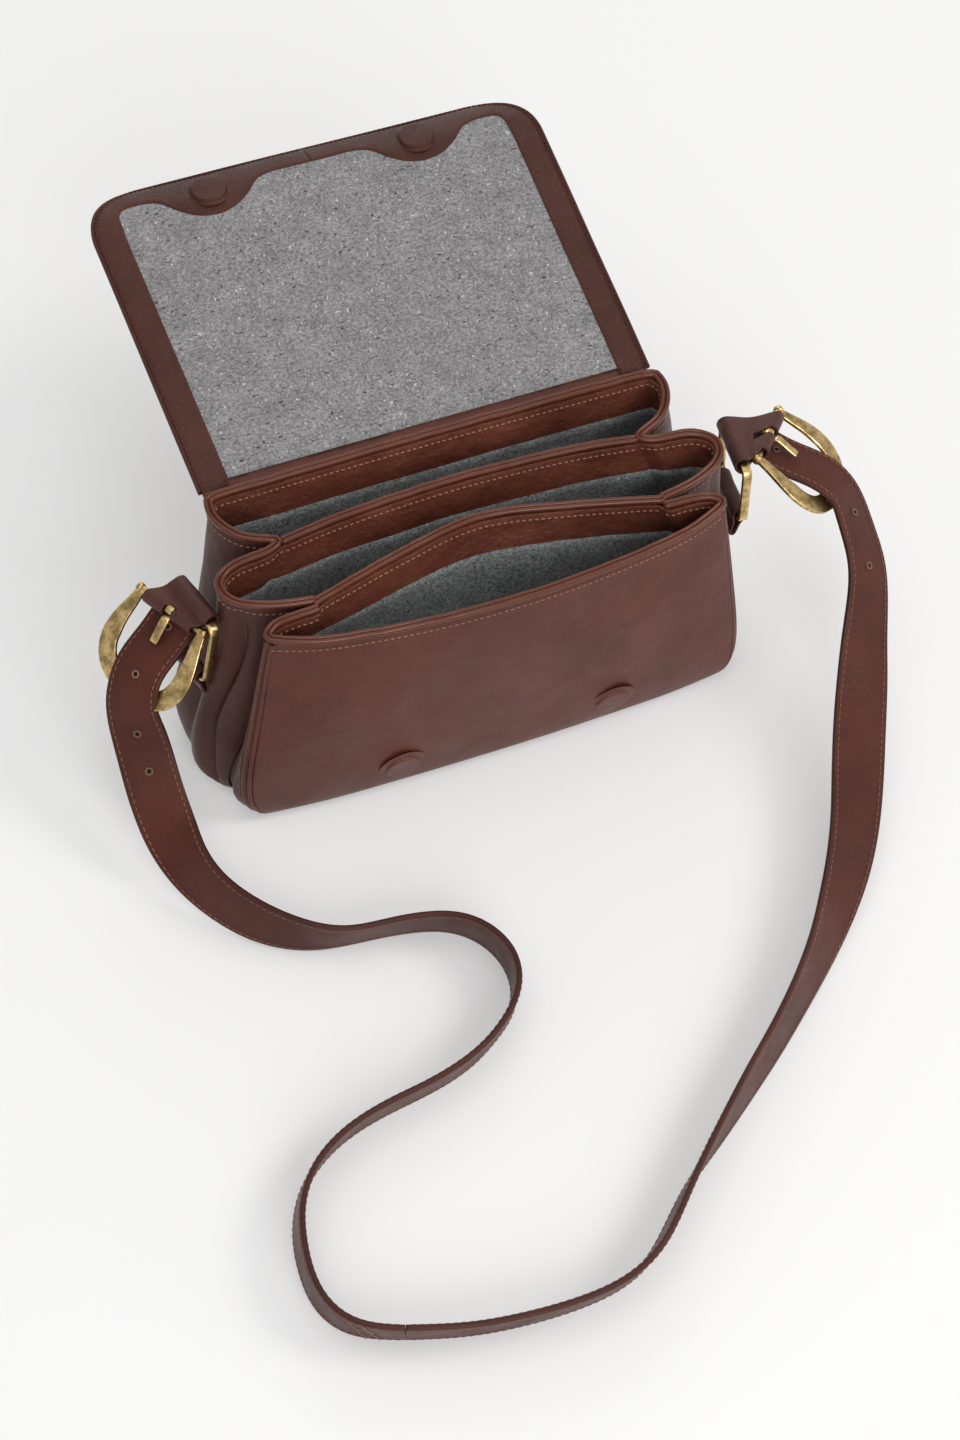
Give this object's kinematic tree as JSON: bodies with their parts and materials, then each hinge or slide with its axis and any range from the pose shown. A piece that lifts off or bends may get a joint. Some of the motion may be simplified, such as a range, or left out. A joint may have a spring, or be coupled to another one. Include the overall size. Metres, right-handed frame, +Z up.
{
  "type": "crossbody purse",
  "caption": "Leather crossbody purse with open gusseted compartments, a lined magnetic flap laid back and a buckled shoulder strap resting in a loop on the ground.",
  "frame": {"origin": "middle of the bag's flat underside", "axes": "+X along the bag's width, +Y towards the back where the flap is sewn on, +Z up"},
  "size_m": [0.447, 0.6496, 0.1987],
  "materials": {
    "leather": "smooth, lightly waxed",
    "leather_edge": "rolled and stitched",
    "wool_lining": "flecked wool felt",
    "antique_brass": "worn antique"
  },
  "bodies": {
    "bag": {"back_panel": "leather", "base_panel": "leather", "facing_front": "leather_edge", "facing_middle": "leather_edge", "facing_rear": "leather_edge", "flap_sewn_edge": "leather", "front_divider": "leather", "front_magnet_left": "leather", "front_magnet_right": "leather", "front_panel": "leather", "gusset_left": "leather", "gusset_loop_left": "leather", "gusset_loop_right": "leather", "gusset_right": "leather", "lining_front": "wool_lining", "lining_middle": "wool_lining", "lining_rear": "wool_lining", "pouch_side_left": "leather", "pouch_side_right": "leather", "rear_divider": "leather", "rim_back": "leather_edge", "rim_front": "leather_edge", "rim_front_divider": "leather_edge", "rim_gusset_left": "leather_edge", "rim_gusset_right": "leather_edge", "rim_pouch_left": "leather_edge", "rim_pouch_right": "leather_edge", "rim_rear_divider": "leather_edge", "ring_left": "antique_brass", "ring_right": "antique_brass", "strap_left": "leather", "strap_right": "leather"},
    "flap_back_half": {"flap_border_crown_left": "leather", "flap_border_crown_right": "leather", "flap_crown": "leather", "flap_lining_crown": "wool_lining"},
    "flap_front_half": {"flap_border_front_left": "leather", "flap_border_front_right": "leather", "flap_front": "leather", "flap_lining_front": "wool_lining", "flap_magnet_left": "leather", "flap_magnet_right": "leather"},
    "tab_left": {"strap_tab_left": "leather"},
    "buckle_left": {"buckle_frame_left": "antique_brass"},
    "tongue_left": {"prong_left": "antique_brass"},
    "tab_right": {"strap_tab_right": "leather"},
    "buckle_right": {"buckle_frame_right": "antique_brass"},
    "tongue_right": {"prong_right": "antique_brass"}
  },
  "joints": [
    {"name": "flap_hinge", "type": "hinge", "parent": "bag", "child": "flap_back_half", "pos_m": [0, 0.047, 0.1525], "axis": [1, 0, 0], "range_deg": [-40, 168]},
    {"name": "flap_fold", "type": "hinge", "parent": "flap_back_half", "child": "flap_front_half", "pos_m": [0, 0.16598, 0.1798], "axis": [1, 0, 0], "range_deg": [0, 86]},
    {"name": "left_tab_swing", "type": "hinge", "parent": "bag", "child": "tab_left", "pos_m": [-0.1524, -0.002, 0.1254], "axis": [-0.2099, 0.9777, 0], "range_deg": [-6, 80], "deforming": ["strap_left"]},
    {"name": "left_buckle_turn", "type": "hinge", "parent": "tab_left", "child": "buckle_left", "pos_m": [-0.1635, 0.0018, 0.1208], "axis": [0.4507, -0.8913, -0.0501], "range_deg": [0, 25], "deforming": ["strap_left"]},
    {"name": "left_tongue_lift", "type": "hinge", "parent": "tab_left", "child": "tongue_left", "pos_m": [-0.1635, 0.0018, 0.1208], "axis": [-0.4507, 0.8913, 0.0501], "range_deg": [0, 95], "deforming": ["strap_left"]},
    {"name": "right_tab_swing", "type": "hinge", "parent": "bag", "child": "tab_right", "pos_m": [0.16, -0.001, 0.1245], "axis": [-0.2099, -0.9777, 0], "range_deg": [-6, 80], "deforming": ["strap_right"]},
    {"name": "right_buckle_turn", "type": "hinge", "parent": "tab_right", "child": "buckle_right", "pos_m": [0.182, 0.0038, 0.12], "axis": [0.6509, 0.7511, -0.1102], "range_deg": [0, 25], "deforming": ["strap_right"]},
    {"name": "right_tongue_lift", "type": "hinge", "parent": "tab_right", "child": "tongue_right", "pos_m": [0.182, 0.0038, 0.12], "axis": [-0.6509, -0.7511, 0.1102], "range_deg": [0, 95], "deforming": ["strap_right"]}
  ]
}
